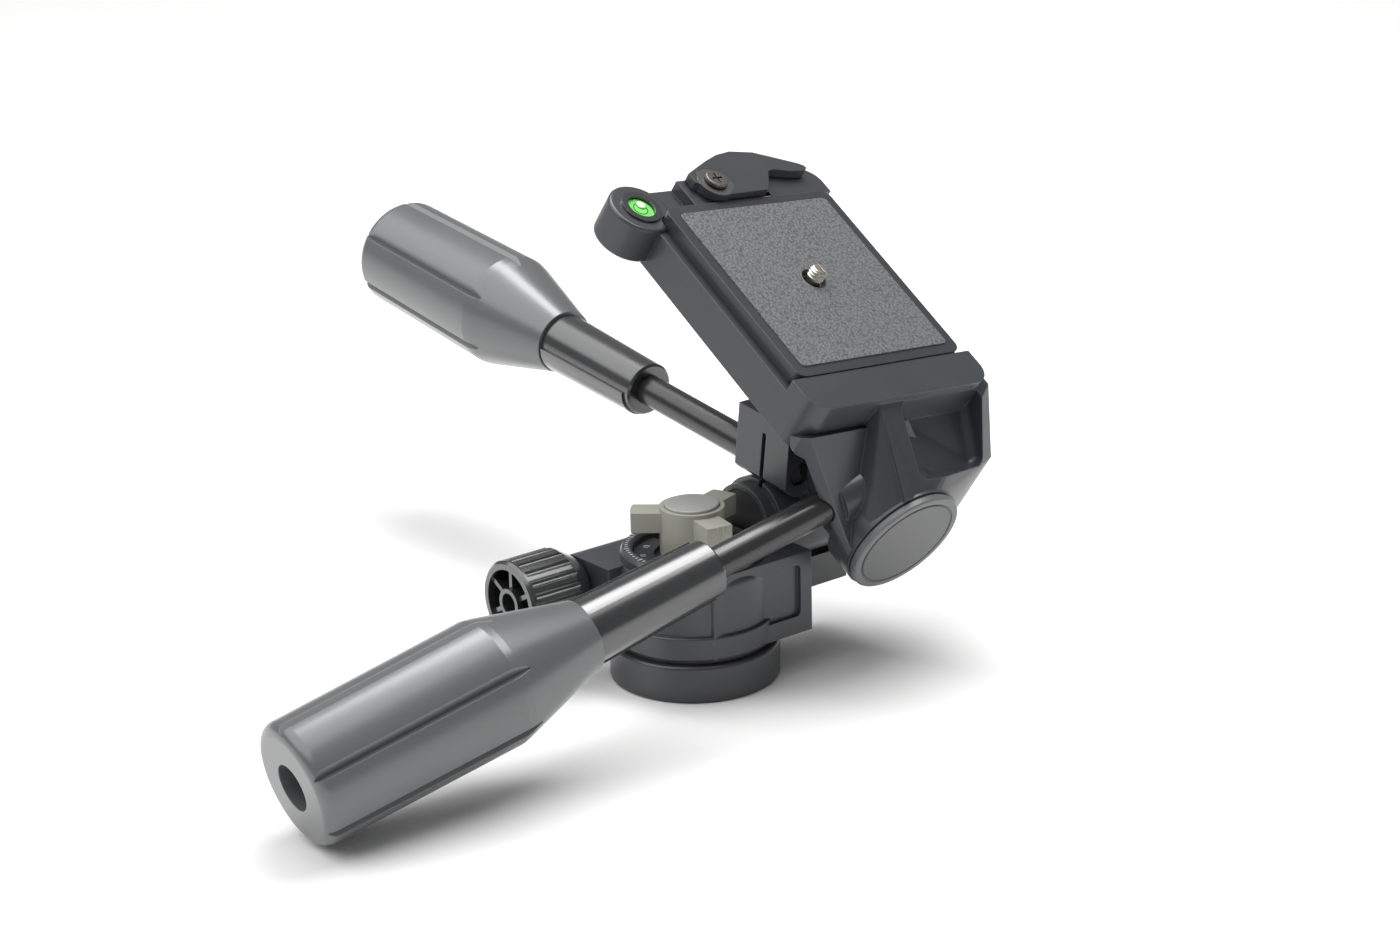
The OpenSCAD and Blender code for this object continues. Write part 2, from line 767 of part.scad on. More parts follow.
// Rib that runs from the shelf down to the top of the nose
module centre_rib() {
    foot_z = hub_r - 8;
    hull() {
        hood_root(rib_x, rib_x + rib_w);
        translate([rib_x, -nose_y, foot_z]) cube([rib_w, 3, nose_r - foot_z - 1.5]);
    }
}

// Deep cheek of the hood on the right, with a recess in its front
module right_cheek() {
    recess_r = 3.5;
    floor_in = [0, -0.4, 0.4];
    out = [0, -12.5, 10];
    corner = 3;
    right = tray_w / 2 - hood_inset;
    left = rib_x + rib_w + recess_r;
    difference() {
        hull() {
            hood_root(rib_x, right);
            translate([right - corner, tray_front - hood_reach, shelf_top - hood_drop])
                cube([corner, corner, corner]);
            nose_disc();
        }
        hull() for (lift = [floor_in, out]) translate(lift) {
            translate([right - 8.6, tray_front + 1.5, shelf_top - 9]) sphere(r = recess_r, $fn = 32);
            translate([left, tray_front + 1.5, shelf_top - 9]) sphere(r = recess_r, $fn = 32);
            translate([right - 9.6, tray_front - 15, shelf_top - 21]) sphere(r = recess_r, $fn = 32);
            translate([left, tray_front - 19, nose_r + 2]) sphere(r = recess_r, $fn = 32);
        }
    }
}

// Space behind the hood, which slopes forward below the tray so that it clears the cheeks
module behind_hood() {
    translate([-tray_w, -hub_back, tray_bottom]) rotate([-hood_slope, 0, 0])
        translate([0, 0, -4 * nose_r]) cube([2 * tray_w, tray_back, 4 * nose_r]);
    translate([-tray_w, -hub_back, -nose_r - 20]) cube([2 * tray_w, tray_back, nose_r + 20 + tray_bottom]);
}

module platform_bracket() {
    color(housing_c) at_side() difference() {
        union() {
            tray();
            difference() {
                union() {
                    left_web();
                    centre_rib();
                    right_cheek();
                }
                behind_hood();
            }
            along_y(nose_r, -nose_y + nose_l, nose_l);
            along_y(hub_r, -hub_back, nose_y - hub_back - 1);
            intersection() {
                at_side_handle() cylinder(r = clamp_boss_r, h = side_boss_end);
                along_y(2 * hub_r, -hub_back, nose_y);
            }
        }
        at_side_handle() translate([0, 0, side_boss_end]) cylinder(r = rod_r + 2 * gap, h = tray_w);
        along_y(side_bore_r, 0, nose_y);
        along_y(counterbore_r, -counterbore_y, nose_y);
        at_side_handle() translate([0, 0, -stud_back - 1])
            cylinder(r = stud_r + gap, h = stud_back + side_boss_end + 2);
        translate([-slot_w / 2 - 3, -counterbore_y - 4, 0]) cube([slot_w, counterbore_y - 10, hub_r + 3]);
        translate([0, pad_y, tray_top - foot_t - gap])
            round_bar(foot_w + 2 * gap, foot_l + 2 * gap, 2 * foot_t, foot_corner);
        translate([0, pad_y, tray_bottom + tray_floor]) cylinder(r = cavity_r, h = tray_t);
        translate([-lever_x, plate_back + lever_y, tray_top - lever_screw_depth])
            cylinder(r = lever_screw_r, h = tray_t);
        translate([-jaw_w / 2 - gap, plate_back, tray_top])
            cube([jaw_w + 2 * gap, jaw_t + jaw_travel + gap, rear_top]);
        translate([-level_x, level_y, level_top - vial_depth]) cylinder(r = vial_r, h = level_h);
    }
}

module side_bushing() {
    color(bronze_c) at_side() translate([0, -hub_back, 0]) rotate([90, 0, 0])
        tube(side_bore_r - fit, side_shaft_r + fit, counterbore_y - hub_back);
}

module medallion() {
    color(medallion_c) at_side() difference() {
        union() {
            translate([0, -nose_y, 0]) rotate([90, 0, 0]) soft_disc(medallion_r, medallion_y - nose_y, 0.7);
            along_y(counterbore_r - fit, -nose_y + 1.2, 1.4);
        }
        translate([0, -medallion_y + 0.3, 0]) rotate([90, 0, 0]) tube(medallion_r - 2.6, medallion_r - 3.3, 2);
    }
}

module bubble_level() {
    color(lime_c) at_side() translate([-level_x, level_y, level_top - vial_depth])
        soft_disc(vial_r - fit, vial_depth - 0.4, 0.8);
}

module level_cover_ring() {
    color(gloss_c) at_side() translate([-level_x, level_y, level_top]) tube(vial_r + 1.8, vial_r - 0.6, 0.8);
}

module at_lever(z) {
    at_side() translate([-lever_x, plate_back + lever_y, z]) children();
}

module lever_screw() {
    head_z = lever_z + lever_t;
    slot_l = 4.8;
    slot_t = 0.8;
    color(steel_c) at_lever(0) difference() {
        union() {
            translate([0, 0, tray_top - lever_screw_depth])
                cylinder(r = lever_screw_r, h = head_z - tray_top + lever_screw_depth);
            translate([0, 0, head_z]) soft_disc(4.4, 1.8, 0.5);
        }
        for (a = [0, 90])
            rotate(a) translate([-slot_l / 2, -slot_t / 2, head_z + slot_t]) cube([slot_l, slot_t, 2]);
    }
}

// Outline of the lever: a round head, a bowed back and a hooked tip
module lever_outline() {
    drawn_l = 47;
    k = lever_l / drawn_l;
    head = [[-9, 0.8], [-9, 5.3]];
    back = [[2.2, 10.3], [10, 13.2], [17.4, 14.3], [27.7, 12.7], [36.2, 8.8]];
    tip = [[44.5, 4.9], [46.4, 3.6], [drawn_l, 2.2], [45.4, 0.8]];
    hook = [[38, 1.4], [31, 3.2], [28, 2.6], [24, -3], [20.8, -6.6]];
    circle(r = lever_washer_r + gap);
    polygon([each head, each k * back, each k * tip, each k * hook, [0, -lever_washer_r]]);
}

module lock_lever() {
    color(housing_c) at_lever(lever_z) difference() {
        linear_extrude(lever_t) lever_outline();
        translate([0, 0, -1]) cylinder(r = lever_screw_r + fit, h = lever_t + 2);
        translate([0, 0, lever_t - lever_washer_t]) cylinder(r = lever_washer_r + fit, h = lever_t);
    }
}

module lever_washer() {
    color(steel_c) at_lever(lever_z + lever_t - lever_washer_t)
        tube(lever_washer_r, lever_screw_r + fit, lever_washer_t - seat_gap);
}

module lock_jaw() {
    color(gloss_c) at_side() translate([-jaw_w / 2, plate_back + 0.1, tray_top + seat_gap])
        cube([jaw_w, jaw_t, rear_top - tray_top - gap]);
}

// --- quick release plate --------------------------------------------------

module quick_release_plate() {
    color(gloss_c) at_side() translate([0, pad_y, 0]) difference() {
        union() {
            translate([0, 0, tray_top + seat_gap])
                round_bar(plate_w, plate_l, plate_t - seat_gap, plate_corner);
            translate([0, 0, tray_top - foot_t]) round_bar(foot_w, foot_l, foot_t + 1, foot_corner);
        }
        translate([0, 0, pad_h - pad_t]) round_bar(pad_w + 2 * fit, pad_l + 2 * fit, 2 * pad_t, pad_t);
        translate([0, 0, tray_top - foot_t - 1]) cylinder(r = screw_head_r + gap, h = foot_t + 3);
        cylinder(r = camera_screw_r + 2 * fit, h = pad_h + 1);
    }
}

module rubber_pad() {
    color(pad_c) at_side() translate([0, pad_y, pad_h - pad_t]) difference() {
        round_bar(pad_w, pad_l, pad_t, pad_t);
        translate([0, 0, -1]) cylinder(r = camera_screw_r + 1.6, h = pad_t + 2);
    }
}

// The thin neck under the thread keeps the loose screw in its plate
module camera_screw() {
    neck_r = camera_screw_r - 0.7;
    neck_top = 0.6;
    tip_h = 0.6;
    thread_l = camera_screw_l - neck_top - tip_h;
    color(steel_c) at_side() translate([0, pad_y, 0]) difference() {
        union() {
            translate([0, 0, screw_head_z]) cylinder(r = screw_head_r, h = screw_head_t);
            translate([0, 0, screw_head_z + 1]) cylinder(r = neck_r, h = pad_h - screw_head_z);
            translate([0, 0, pad_h + neck_top]) cylinder(r = camera_screw_r, h = thread_l);
            translate([0, 0, pad_h + neck_top + thread_l])
                cylinder(r1 = camera_screw_r, r2 = camera_screw_r - tip_h, h = tip_h);
        }
        translate([0, 0, screw_head_z - 1]) cylinder(r = 3, h = 2);
    }
}

module d_ring() {
    wire = 0.9;
    ring_r = 7;
    color(steel_c) at_side() translate([0, pad_y, screw_head_z - wire - 0.1]) {
        intersection() {
            rotate_extrude() translate([ring_r, 0]) circle(r = wire, $fn = 24);
            translate([-10, 0, -2]) cube([20, 10, 4]);
        }
        along_x(wire, -ring_r, 2 * ring_r);
    }
}

base_disc();
threaded_insert();
pan_spindle();
pan_washer();
pan_housing();
pan_bushing();
dial_ring();
pan_lock_nut();
tilt_shaft();
tilt_end_caps();
tilt_washers();
wing_knob();
wing_knob_cap();
wing_knob_screw();
pan_lock_knob();
pan_lock_screw();
tilt_body();
tilt_bushings();
side_shaft();
side_washer();
side_nut();
tilt_handle_rod();
tilt_handle_sleeve();
tilt_handle_grip();
side_handle_rod();
side_handle_sleeve();
side_handle_grip();
platform_bracket();
side_bushing();
medallion();
bubble_level();
level_cover_ring();
lever_screw();
lock_lever();
lever_washer();
lock_jaw();
quick_release_plate();
rubber_pad();
camera_screw();
d_ring();
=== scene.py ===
"""Finishes, fine details, floor, light and camera for the three way pan and tilt head.

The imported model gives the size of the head. The details here sit on its pieces and ride on its bodies.
"""

import json
import math

import bmesh
import bpy
from mathutils import Matrix, Vector


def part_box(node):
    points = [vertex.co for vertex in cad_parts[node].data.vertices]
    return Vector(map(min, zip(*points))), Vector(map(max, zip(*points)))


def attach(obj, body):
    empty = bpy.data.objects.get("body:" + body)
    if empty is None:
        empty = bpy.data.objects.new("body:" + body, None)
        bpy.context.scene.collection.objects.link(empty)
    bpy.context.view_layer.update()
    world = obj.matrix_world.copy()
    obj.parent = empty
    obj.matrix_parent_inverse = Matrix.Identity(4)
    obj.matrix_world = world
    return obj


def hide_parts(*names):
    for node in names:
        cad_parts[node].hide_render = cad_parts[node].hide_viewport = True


bl_info = {
    "name": "Pan and tilt head finishes",
    "version": (1, 0, 0),
    "blender": (4, 5, 0),
    "location": "View3D > Sidebar > Pan Head",
    "description": "Dresses a packed three way pan and tilt head with finishes and fine details",
    "category": "Object",
}

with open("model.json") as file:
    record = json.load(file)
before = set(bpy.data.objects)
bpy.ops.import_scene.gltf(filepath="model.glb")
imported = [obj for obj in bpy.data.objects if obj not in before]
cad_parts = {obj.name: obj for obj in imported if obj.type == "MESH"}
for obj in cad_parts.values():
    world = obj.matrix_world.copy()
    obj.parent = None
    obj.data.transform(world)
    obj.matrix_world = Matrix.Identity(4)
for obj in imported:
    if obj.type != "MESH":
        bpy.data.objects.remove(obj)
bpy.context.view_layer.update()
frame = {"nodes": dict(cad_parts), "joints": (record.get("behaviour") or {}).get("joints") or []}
JOINTS = {joint["name"]: joint for joint in frame["joints"]}
MM = 0.001
MICRON = 0.000001
ROUND_STEPS = 48  # points round a turned or threaded piece
ROWS_PER_TURN = 10  # rows of points along one turn of a thread


def joint_point(name):
    """Where a joint sits, in metres."""
    return Vector(JOINTS[name]["pos_m"])


def joint_axis(name):
    """The direction of a joint's axis."""
    return Vector(JOINTS[name]["axis"]).normalized()


def placed(origin, z_axis, x_axis):
    """Matrix that stands a drawing on origin with its Z and X along two directions."""
    z = z_axis.normalized()
    x = (x_axis - z * x_axis.dot(z)).normalized()
    y = z.cross(x)
    return Matrix.Translation(origin) @ Matrix((x, y, z)).transposed().to_4x4()


# The platform's own directions: up out of the pad, towards its rear, and to its right as seen
# from the side where the lens looks.
PLATFORM_UP = joint_axis("plate_lift")
PLATFORM_REAR = joint_axis("jaw_slide")
PLATFORM_RIGHT = PLATFORM_REAR.cross(PLATFORM_UP)
SIDE_DIRECTION = joint_axis("side_tilt")


# --- sizes and colours ----------------------------------------------------------------


def colour(name, description, value):
    return bpy.props.FloatVectorProperty(
        name=name, description=description, subtype="COLOR", size=3, min=0, max=1, default=value
    )


def length(name, description, value):
    return bpy.props.FloatProperty(
        name=name, description=description, unit="LENGTH", min=0, precision=5, default=value
    )


class PanHeadFinish(bpy.types.PropertyGroup):
    casting: colour("Casting", "Satin charcoal coating on the die-cast pieces", (0.036, 0.038, 0.043))
    gloss_black: colour("Gloss black", "Moulded sleeves and lock knob", (0.022, 0.023, 0.025))
    rod_black: colour("Rod", "Satin black coating on the handle rods", (0.022, 0.022, 0.024))
    grip: colour("Grip", "Soft grey rubber of the handle grips", (0.108, 0.112, 0.116))
    wing: colour("Wing knob", "Warm light grey moulding", (0.36, 0.36, 0.31))
    cap: colour("Knob cap", "Pale inlay on top of the wing knob", (0.37, 0.375, 0.35))
    medallion: colour("Medallion", "Flat grey disc on the nose", (0.105, 0.107, 0.11))
    pad: colour("Pad", "Grained rubber under the camera", (0.125, 0.128, 0.132))
    spirit: colour("Spirit", "Liquid in the bubble level", (0.2, 0.72, 0.16))
    steel: colour("Steel", "Bright turned steel", (0.62, 0.6, 0.56))
    marks: colour("Marks", "Printed scale on the dial", (0.78, 0.78, 0.76))


class PanHeadSize(bpy.types.PropertyGroup):
    thread_pitch: length("Camera thread pitch", "Rise of one turn of the 1/4 inch thread", 25.4 / 20 * MM)
    thread_depth: length("Camera thread depth", "Height of the camera screw's thread", 0.62 * MM)
    screw_radius: length("Camera screw radius", "Outer radius of the camera screw", 3.17 * MM)
    screw_height: length("Camera screw height", "Height of the screw above the pad", 5 * MM)
    neck_radius: length("Camera screw neck radius", "Radius of the plain neck under the thread", 2.47 * MM)
    neck_height: length("Camera screw neck height", "Height above the pad where the thread starts", 0.6 * MM)
    head_radius: length("Camera screw head radius", "Radius of the head under the plate", 9.3 * MM)
    head_thickness: length("Camera screw head thickness", "Thickness of the head under the plate", 2.4 * MM)
    slot_width: length("Slot width", "Width of the slot across the camera screw's tip", 1.0 * MM)
    slot_depth: length("Slot depth", "Depth of the slot in the camera screw's tip", 1.3 * MM)
    tripod_pitch: length("Tripod thread pitch", "Rise of one turn of the 3/8 inch thread", 25.4 / 16 * MM)
    tripod_radius: length("Tripod bore radius", "Radius of the hole between the threads", 3.97 * MM)
    tripod_depth: length("Tripod thread depth", "Depth of the tripod thread", 0.79 * MM)
    number_height: length("Number height", "Height of the numbers on the dial", 2.6 * MM)
    number_ring: length("Number ring", "Distance of the numbers from the pan axis", 17.4 * MM)
    tick_length: length("Long tick", "Length of a long mark on the dial", 1.9 * MM)
    tick_width: length("Tick width", "Width of one mark on the dial", 0.32 * MM)
    tick_inset: length("Tick inset", "Distance of the marks inside the dial's rim", 2.2 * MM)
    tick_height: length("Tick thickness", "Thickness of the printed marks", 0.08 * MM)
    tick_edge: length("Cheek edge", "Distance of the cheek that leaves no room for marks", 21.6 * MM)
    tick_count: bpy.props.IntProperty(name="Ticks", description="Marks round the dial", min=12, default=72)
    bubble_radius: length("Bubble radius", "Radius of the level's bubble", 1.9 * MM)
    bubble_right: length("Bubble to the right", "Distance of the bubble to the right of the middle", 1.2 * MM)
    bubble_rear: length("Bubble to the rear", "Distance of the bubble behind the middle", 1.6 * MM)
    ring_width: length("Level ring width", "Width of the ring printed under the level's window", 0.25 * MM)


class PanHeadStage(bpy.types.PropertyGroup):
    floor: colour("Floor", "Plain pale floor", (0.93, 0.93, 0.925))
    lens: bpy.props.FloatProperty(name="Lens", description="Focal length", unit="CAMERA", default=77.14)
    surround: bpy.props.FloatProperty(name="Surround", description="Brightness of the room", default=0.23)
    overhead: bpy.props.FloatProperty(
        name="Overhead", description="Strength of the wide light above", default=2.55
    )
    key_power: bpy.props.FloatProperty(
        name="Softbox", description="Power of the softbox", unit="POWER", default=9
    )


# --- shader helpers -------------------------------------------------------------------


def by_place_or_name(inputs, named):
    """Pairs of an input's place or name and its value, with _ in a name for a space."""
    return [*enumerate(inputs), *((key.replace("_", " "), value) for key, value in named.items())]


class Value:
    """A socket in a finish, so that shader maths reads as ordinary sums."""

    def __init__(self, finish, socket):
        self.finish = finish
        self.socket = socket

    def _math(self, operation, *inputs):
        return self.finish.node("ShaderNodeMath", {"operation": operation}, *inputs)[0]

    def __add__(self, other):
        return self._math("ADD", self, other)

    def __sub__(self, other):
        return self._math("SUBTRACT", self, other)

    def __rsub__(self, other):
        return self._math("SUBTRACT", other, self)

    def __mul__(self, other):
        return self._math("MULTIPLY", self, other)

    __radd__ = __add__


class Finish:
    """One procedural material while it is put together."""

    def __init__(self, name):
        self.material = bpy.data.materials.new(name)
        self.material.use_nodes = True
        self.tree = self.material.node_tree
        self.tree.nodes.clear()
        self.output = self.tree.nodes.new("ShaderNodeOutputMaterial")
        self.coords = self.node("ShaderNodeTexCoord")["Object"]

    def node(self, kind, settings=None, *inputs, **named):
        """Adds a node. Settings come first, then inputs by place or by name with _ for a space."""
        node = self.tree.nodes.new(kind)
        for key, value in (settings or {}).items():
            setattr(node, key, value)
        for key, value in by_place_or_name(inputs, named):
            socket = node.inputs[key]
            if isinstance(value, Value):
                self.tree.links.new(value.socket, socket)
            elif value is not None:
                socket.default_value = value
        return Outputs(self, node)

    def noise(self, scale, detail=3.0, roughness=0.55):
        """Even noise from 0 to 1, with scale in marks per metre."""
        return self.node(
            "ShaderNodeTexNoise", None, Vector=self.coords, Scale=scale, Detail=detail, Roughness=roughness
        )["Fac"]

    def mix(self, factor, first, second):
        """Blends two colours."""
        out = self.node("ShaderNodeMix", {"data_type": "RGBA"})
        for index, value in ((0, factor), (6, first), (7, second)):
            socket = out.raw.inputs[index]
            if isinstance(value, Value):
                self.tree.links.new(value.socket, socket)
            else:
                socket.default_value = value if index == 0 else (*value, 1)
        return Value(self, out.raw.outputs[2])

    def mottled(self, factor, shade, dark, light):
        """A shade that drifts between a darker and a lighter tint of itself."""
        return self.mix(factor, tint(shade, dark), tint(shade, light))

    def soft_edges(self, radius):
        """Normal that rounds the sharp edges of a moulded or cast piece."""
        return self.node("ShaderNodeBevel", {"samples": 6}, Radius=radius)["Normal"]

    def edge_mask(self, rounded):
        """1 along sharp edges and 0 on flats, read from the rounded normal."""
        plain = self.node("ShaderNodeNewGeometry")["Normal"]
        facing = self.node("ShaderNodeVectorMath", {"operation": "DOT_PRODUCT"}, rounded, plain)["Value"]
        return self.node("ShaderNodeMapRange", {"clamp": True}, facing, 0.999, 0.93, 0.0, 1.0)[0]

    def distance_from_axis(self, centre, axis):
        """Distance from a line through the object's own space."""
        offset = self.node("ShaderNodeVectorMath", {"operation": "SUBTRACT"}, self.coords, centre)[0]
        across = self.node("ShaderNodeVectorMath", {"operation": "CROSS_PRODUCT"}, offset, axis)[0]
        return self.node("ShaderNodeVectorMath", {"operation": "LENGTH"}, across)["Value"]

    def size_of(self, value):
        """The value without its sign."""
        return self.node("ShaderNodeMath", {"operation": "ABSOLUTE"}, value)[0]

    def surface(self, normal=None, bumps=(), **sockets):
        """Principled surface with bumps, each as (height, depth in metres), over a normal."""
        for height, depth in bumps:
            normal = self.node(
                "ShaderNodeBump", None, Strength=1.0, Distance=depth, Height=height, Normal=normal
            )["Normal"]
        shader = self.node("ShaderNodeBsdfPrincipled", None, Normal=normal, **sockets)
        self.tree.links.new(shader.raw.outputs[0], self.output.inputs["Surface"])
        return self.material


class Outputs:
    """The outputs of a node, by place or by name."""

    def __init__(self, finish, node):
        self.finish = finish
        self.raw = node

    def __getitem__(self, key):
        return Value(self.finish, self.raw.outputs[key])


def tint(shade, factor):
    return tuple(min(1, channel * factor) for channel in shade)


# --- finishes -------------------------------------------------------------------------


def cast_coating(name, shade, roughness=0.4, grain=20 * MICRON):
    """Satin powder coat on a casting: fine orange peel, with painted highlights along its sharp edges."""
    finish = Finish(name)
    rounded = finish.soft_edges(0.5 * MM)
    cloud = finish.noise(45, 4)
    peel = finish.noise(1600, 2)
    speck = finish.noise(4200, 1)
    body = finish.mottled(cloud, shade, 0.88, 1.14)
    # Paler along the sharp edges: a painted highlight standing in for light caught by the rounded edges.
    body_with_painted_edge_highlight = finish.mix(finish.edge_mask(rounded) * 0.5, body, tint(shade, 3.0))
    return finish.surface(
        rounded, [(peel, grain), (speck, grain * 0.4)],
        Base_Color=body_with_painted_edge_highlight, Roughness=roughness + (cloud - 0.5) * 0.12,
        Coat_Weight=0.35, Coat_Roughness=0.22,
    )


def gloss_moulding(name, shade):
    """Shiny black plastic with a faint flow and light handling marks."""
    finish = Finish(name)
    rounded = finish.soft_edges(0.4 * MM)
    flow = finish.noise(30, 3)
    smear = finish.noise(220, 5, 0.65)
    body = finish.mottled(flow, shade, 0.85, 1.2)
    return finish.surface(
        rounded, [(finish.noise(900, 2), 1.5 * MICRON)],
        Base_Color=body, Roughness=0.22 + smear * 0.08,
        Coat_Weight=0.8, Coat_Roughness=0.2, Coat_IOR=1.8,
    )


def soft_rubber(name, shade):
    """Satin rubber with a fine spark-eroded skin, soft patches and painted highlights along its edges."""
    finish = Finish(name)
    rounded = finish.soft_edges(0.6 * MM)
    patch = finish.noise(28, 4)
    skin = finish.noise(2600, 3)
    body = finish.mottled(patch, shade, 0.9, 1.1)
    return finish.surface(
        rounded, [(skin, 30 * MICRON)],
        # Paler along the sharp edges and groove ledges: a painted highlight.
        Base_Color=finish.mix(finish.edge_mask(rounded) * 0.35, body, tint(shade, 1.5)),
        Roughness=0.36 + (patch - 0.5) * 0.1, Coat_Weight=0.5, Coat_Roughness=0.24, Coat_IOR=1.8,
    )


def ringed_disc(name, shade, node):
    """Semi-matt disc with a fine line incised round it, the line painted dark as shade in its groove, inside
    a border painted paler as a highlight on its raised rim.
    """
    finish = Finish(name)
    low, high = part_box(node)
    outer = max(far - near for near, far in zip(low, high)) / 2
    line_radius, border_radius = outer * 0.84, outer * 0.85
    reach = finish.distance_from_axis((Vector(low) + Vector(high)) / 2, SIDE_DIRECTION)
    from_line = finish.size_of(reach - line_radius)
    # The incised line is painted dark: painted shade in its groove.
    line = finish.node("ShaderNodeMapRange", {"clamp": True}, from_line, 0.0, 0.4 * MM, 1.0, 0.0)[0]
    # The band outside the line is painted paler: a painted highlight on the raised rim.
    painted_rim_highlight = finish.node(
        "ShaderNodeMapRange", {"clamp": True}, reach, line_radius, border_radius, 0.0, 1.0
    )[0]
    cloud = finish.noise(60, 3)
    face = finish.mottled(cloud, shade, 0.92, 1.08)
    body = finish.mix(line, finish.mix(painted_rim_highlight, face, tint(shade, 1.25)), tint(shade, 0.25))
    return finish.surface(
        finish.soft_edges(0.4 * MM), [(1 - line, 200 * MICRON), (finish.noise(2400, 2), 10 * MICRON)],
        Base_Color=body, Roughness=0.36 + (cloud - 0.5) * 0.1,
    )


def plain_moulding(name, shade, roughness=0.42):
    """Semi-matt plastic with a fine moulded skin."""
    finish = Finish(name)
    rounded = finish.soft_edges(0.35 * MM)
    cloud = finish.noise(60, 3)
    return finish.surface(
        rounded, [(finish.noise(2400, 2), 15 * MICRON)],
        Base_Color=finish.mottled(cloud, shade, 0.92, 1.08), Roughness=roughness + (cloud - 0.5) * 0.1,
    )


def grained_pad(name, shade):
    """Rubber pad with a pebbled grain like leather, painted darker between the pebbles and paler on their
    tops as shade and highlight.
    """
    finish = Finish(name)
    rounded = finish.soft_edges(0.3 * MM)
    pebble = finish.node(
        "ShaderNodeTexVoronoi", {"feature": "SMOOTH_F1"},
        Vector=finish.coords, Scale=1050, Smoothness=0.6, Randomness=1.0,
    )["Distance"]
    fibre = finish.noise(2300, 3)
    valley = finish.node("ShaderNodeMapRange", {"clamp": True}, pebble, 0.2, 0.75, 1.0, 0.0)[0]
    # Colour follows the grain's relief: painted shade between the pebbles and a painted highlight on their
    # tops.
    body = finish.mottled(valley, shade, 0.62, 1.35)
    return finish.surface(
        rounded, [(valley, 120 * MICRON), (fibre, 30 * MICRON)],
        Base_Color=body, Roughness=0.5 - valley * 0.12,
    )


def turned_steel(name, shade, roughness=0.24):
    """Bright metal with fine turning marks."""
    finish = Finish(name)
    rounded = finish.soft_edges(0.2 * MM)
    brush = finish.noise(1500, 4, 0.7)
    return finish.surface(
        rounded, [(brush, 8 * MICRON)],
        Base_Color=finish.mottled(brush, shade, 0.8, 1.12), Metallic=1.0,
        Roughness=roughness + brush * 0.14,
    )


def spirit_window(name, shade):
    """Green spirit under a clear window."""
    finish = Finish(name)
    glow = finish.noise(160, 2)
    return finish.surface(
        Base_Color=finish.mottled(glow, shade, 0.8, 1.25), Roughness=0.08 + glow * 0.05,
        Coat_Weight=0.6, Coat_Roughness=0.03,
    )


def clear_bubble(name):
    """Pale green gleam of the air bubble."""
    finish = Finish(name)
    swirl = finish.noise(600, 2)
    body = finish.mix(swirl, (0.6, 0.9, 0.5), (0.85, 1.0, 0.75))
    return finish.surface(Base_Color=body, Roughness=0.05 + swirl * 0.05)


def printed_ink(name, shade):
    """Slightly uneven printed ink."""
    finish = Finish(name)
    wear = finish.noise(900, 3)
    return finish.surface(Base_Color=finish.mottled(wear, shade, 0.8, 1.08), Roughness=0.5 + wear * 0.1)


NODE_FINISHES = {
    "casting": (
        "base_disc", "pan_housing", "dial_ring", "tilt_body", "platform_bracket", "lock_lever",
    ),
    "plate_casting": ("quick_release_plate",),
    "cheek_cap": ("tilt_end_caps",),
    "gloss_black": ("pan_lock_knob", "tilt_handle_sleeve", "side_handle_sleeve", "level_cover_ring"),
    "rod_black": ("tilt_handle_rod", "side_handle_rod"),
    "grip": ("tilt_handle_grip", "side_handle_grip"),
    "wing": ("wing_knob",),
    "cap": ("wing_knob_cap",),
    "medallion": ("medallion",),
    "pad": ("rubber_pad",),
    "steel": (
        "pan_spindle", "pan_lock_nut", "tilt_shaft", "wing_knob_screw", "pan_lock_screw",
        "side_shaft", "side_washer", "side_nut", "lock_jaw", "d_ring", "camera_screw",
    ),
    "dark_steel": ("lever_screw", "lever_washer"),
    "brass": ("threaded_insert",),
    "bronze": ("pan_bushing", "tilt_bushings", "side_bushing"),
    "nylon": ("tilt_washers",),
    "dark_nylon": ("pan_washer",),
    "spirit": ("bubble_level",),
}


def make_finishes():
    """All materials by name, in the colours that the panel holds."""
    shades = bpy.context.scene.pan_head_finish
    return {
        "casting": cast_coating("satin_charcoal", tuple(shades.casting)),
        "plate_casting": cast_coating("satin_black_plate", tint(shades.casting, 0.8), 0.36),
        "cheek_cap": plain_moulding("dark_cap", tint(shades.casting, 0.45), 0.5),
        "gloss_black": gloss_moulding("gloss_black_moulding", tuple(shades.gloss_black)),
        "rod_black": cast_coating("satin_black_rod", tuple(shades.rod_black), 0.27, 6 * MICRON),
        "grip": soft_rubber("grey_grip_rubber", tuple(shades.grip)),
        "wing": plain_moulding("warm_grey_moulding", tuple(shades.wing)),
        "cap": plain_moulding("pale_grey_cap", tuple(shades.cap), 0.36),
        "medallion": ringed_disc("flat_grey_disc", tuple(shades.medallion), "medallion"),
        "pad": grained_pad("grained_rubber", tuple(shades.pad)),
        "steel": turned_steel("bright_steel", tuple(shades.steel)),
        "dark_steel": turned_steel("dark_steel", tint(shades.steel, 0.3), 0.32),
        "brass": turned_steel("brass", (0.62, 0.45, 0.2)),
        "bronze": turned_steel("bronze", (0.42, 0.28, 0.14), 0.4),
        "nylon": plain_moulding("natural_nylon", (0.7, 0.69, 0.64)),
        "dark_nylon": plain_moulding("dark_nylon", (0.03, 0.03, 0.032)),
        "spirit": spirit_window("green_spirit", tuple(shades.spirit)),
    }


# --- mesh helpers ---------------------------------------------------------------------


def mesh_object(name, mesh, material, body):
    """Adds a finished mesh as a piece that rides on a body."""
    piece = bpy.data.objects.new(name, mesh)
    bpy.context.scene.collection.objects.link(piece)
    mesh.materials.clear()
    mesh.materials.append(material)
    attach(piece, body)
    return piece


def from_bmesh(name, shape, place, material, body, smooth=True):
    """Turns a bmesh, drawn in metres on its own axes, into a piece at its place."""
    shape.transform(place)
    bmesh.ops.recalc_face_normals(shape, faces=shape.faces)
    mesh = bpy.data.meshes.new(name)
    shape.to_mesh(mesh)
    shape.free()
    if smooth:
        mesh.shade_smooth()
    else:
        mesh.shade_flat()
    return mesh_object(name, mesh, material, body)


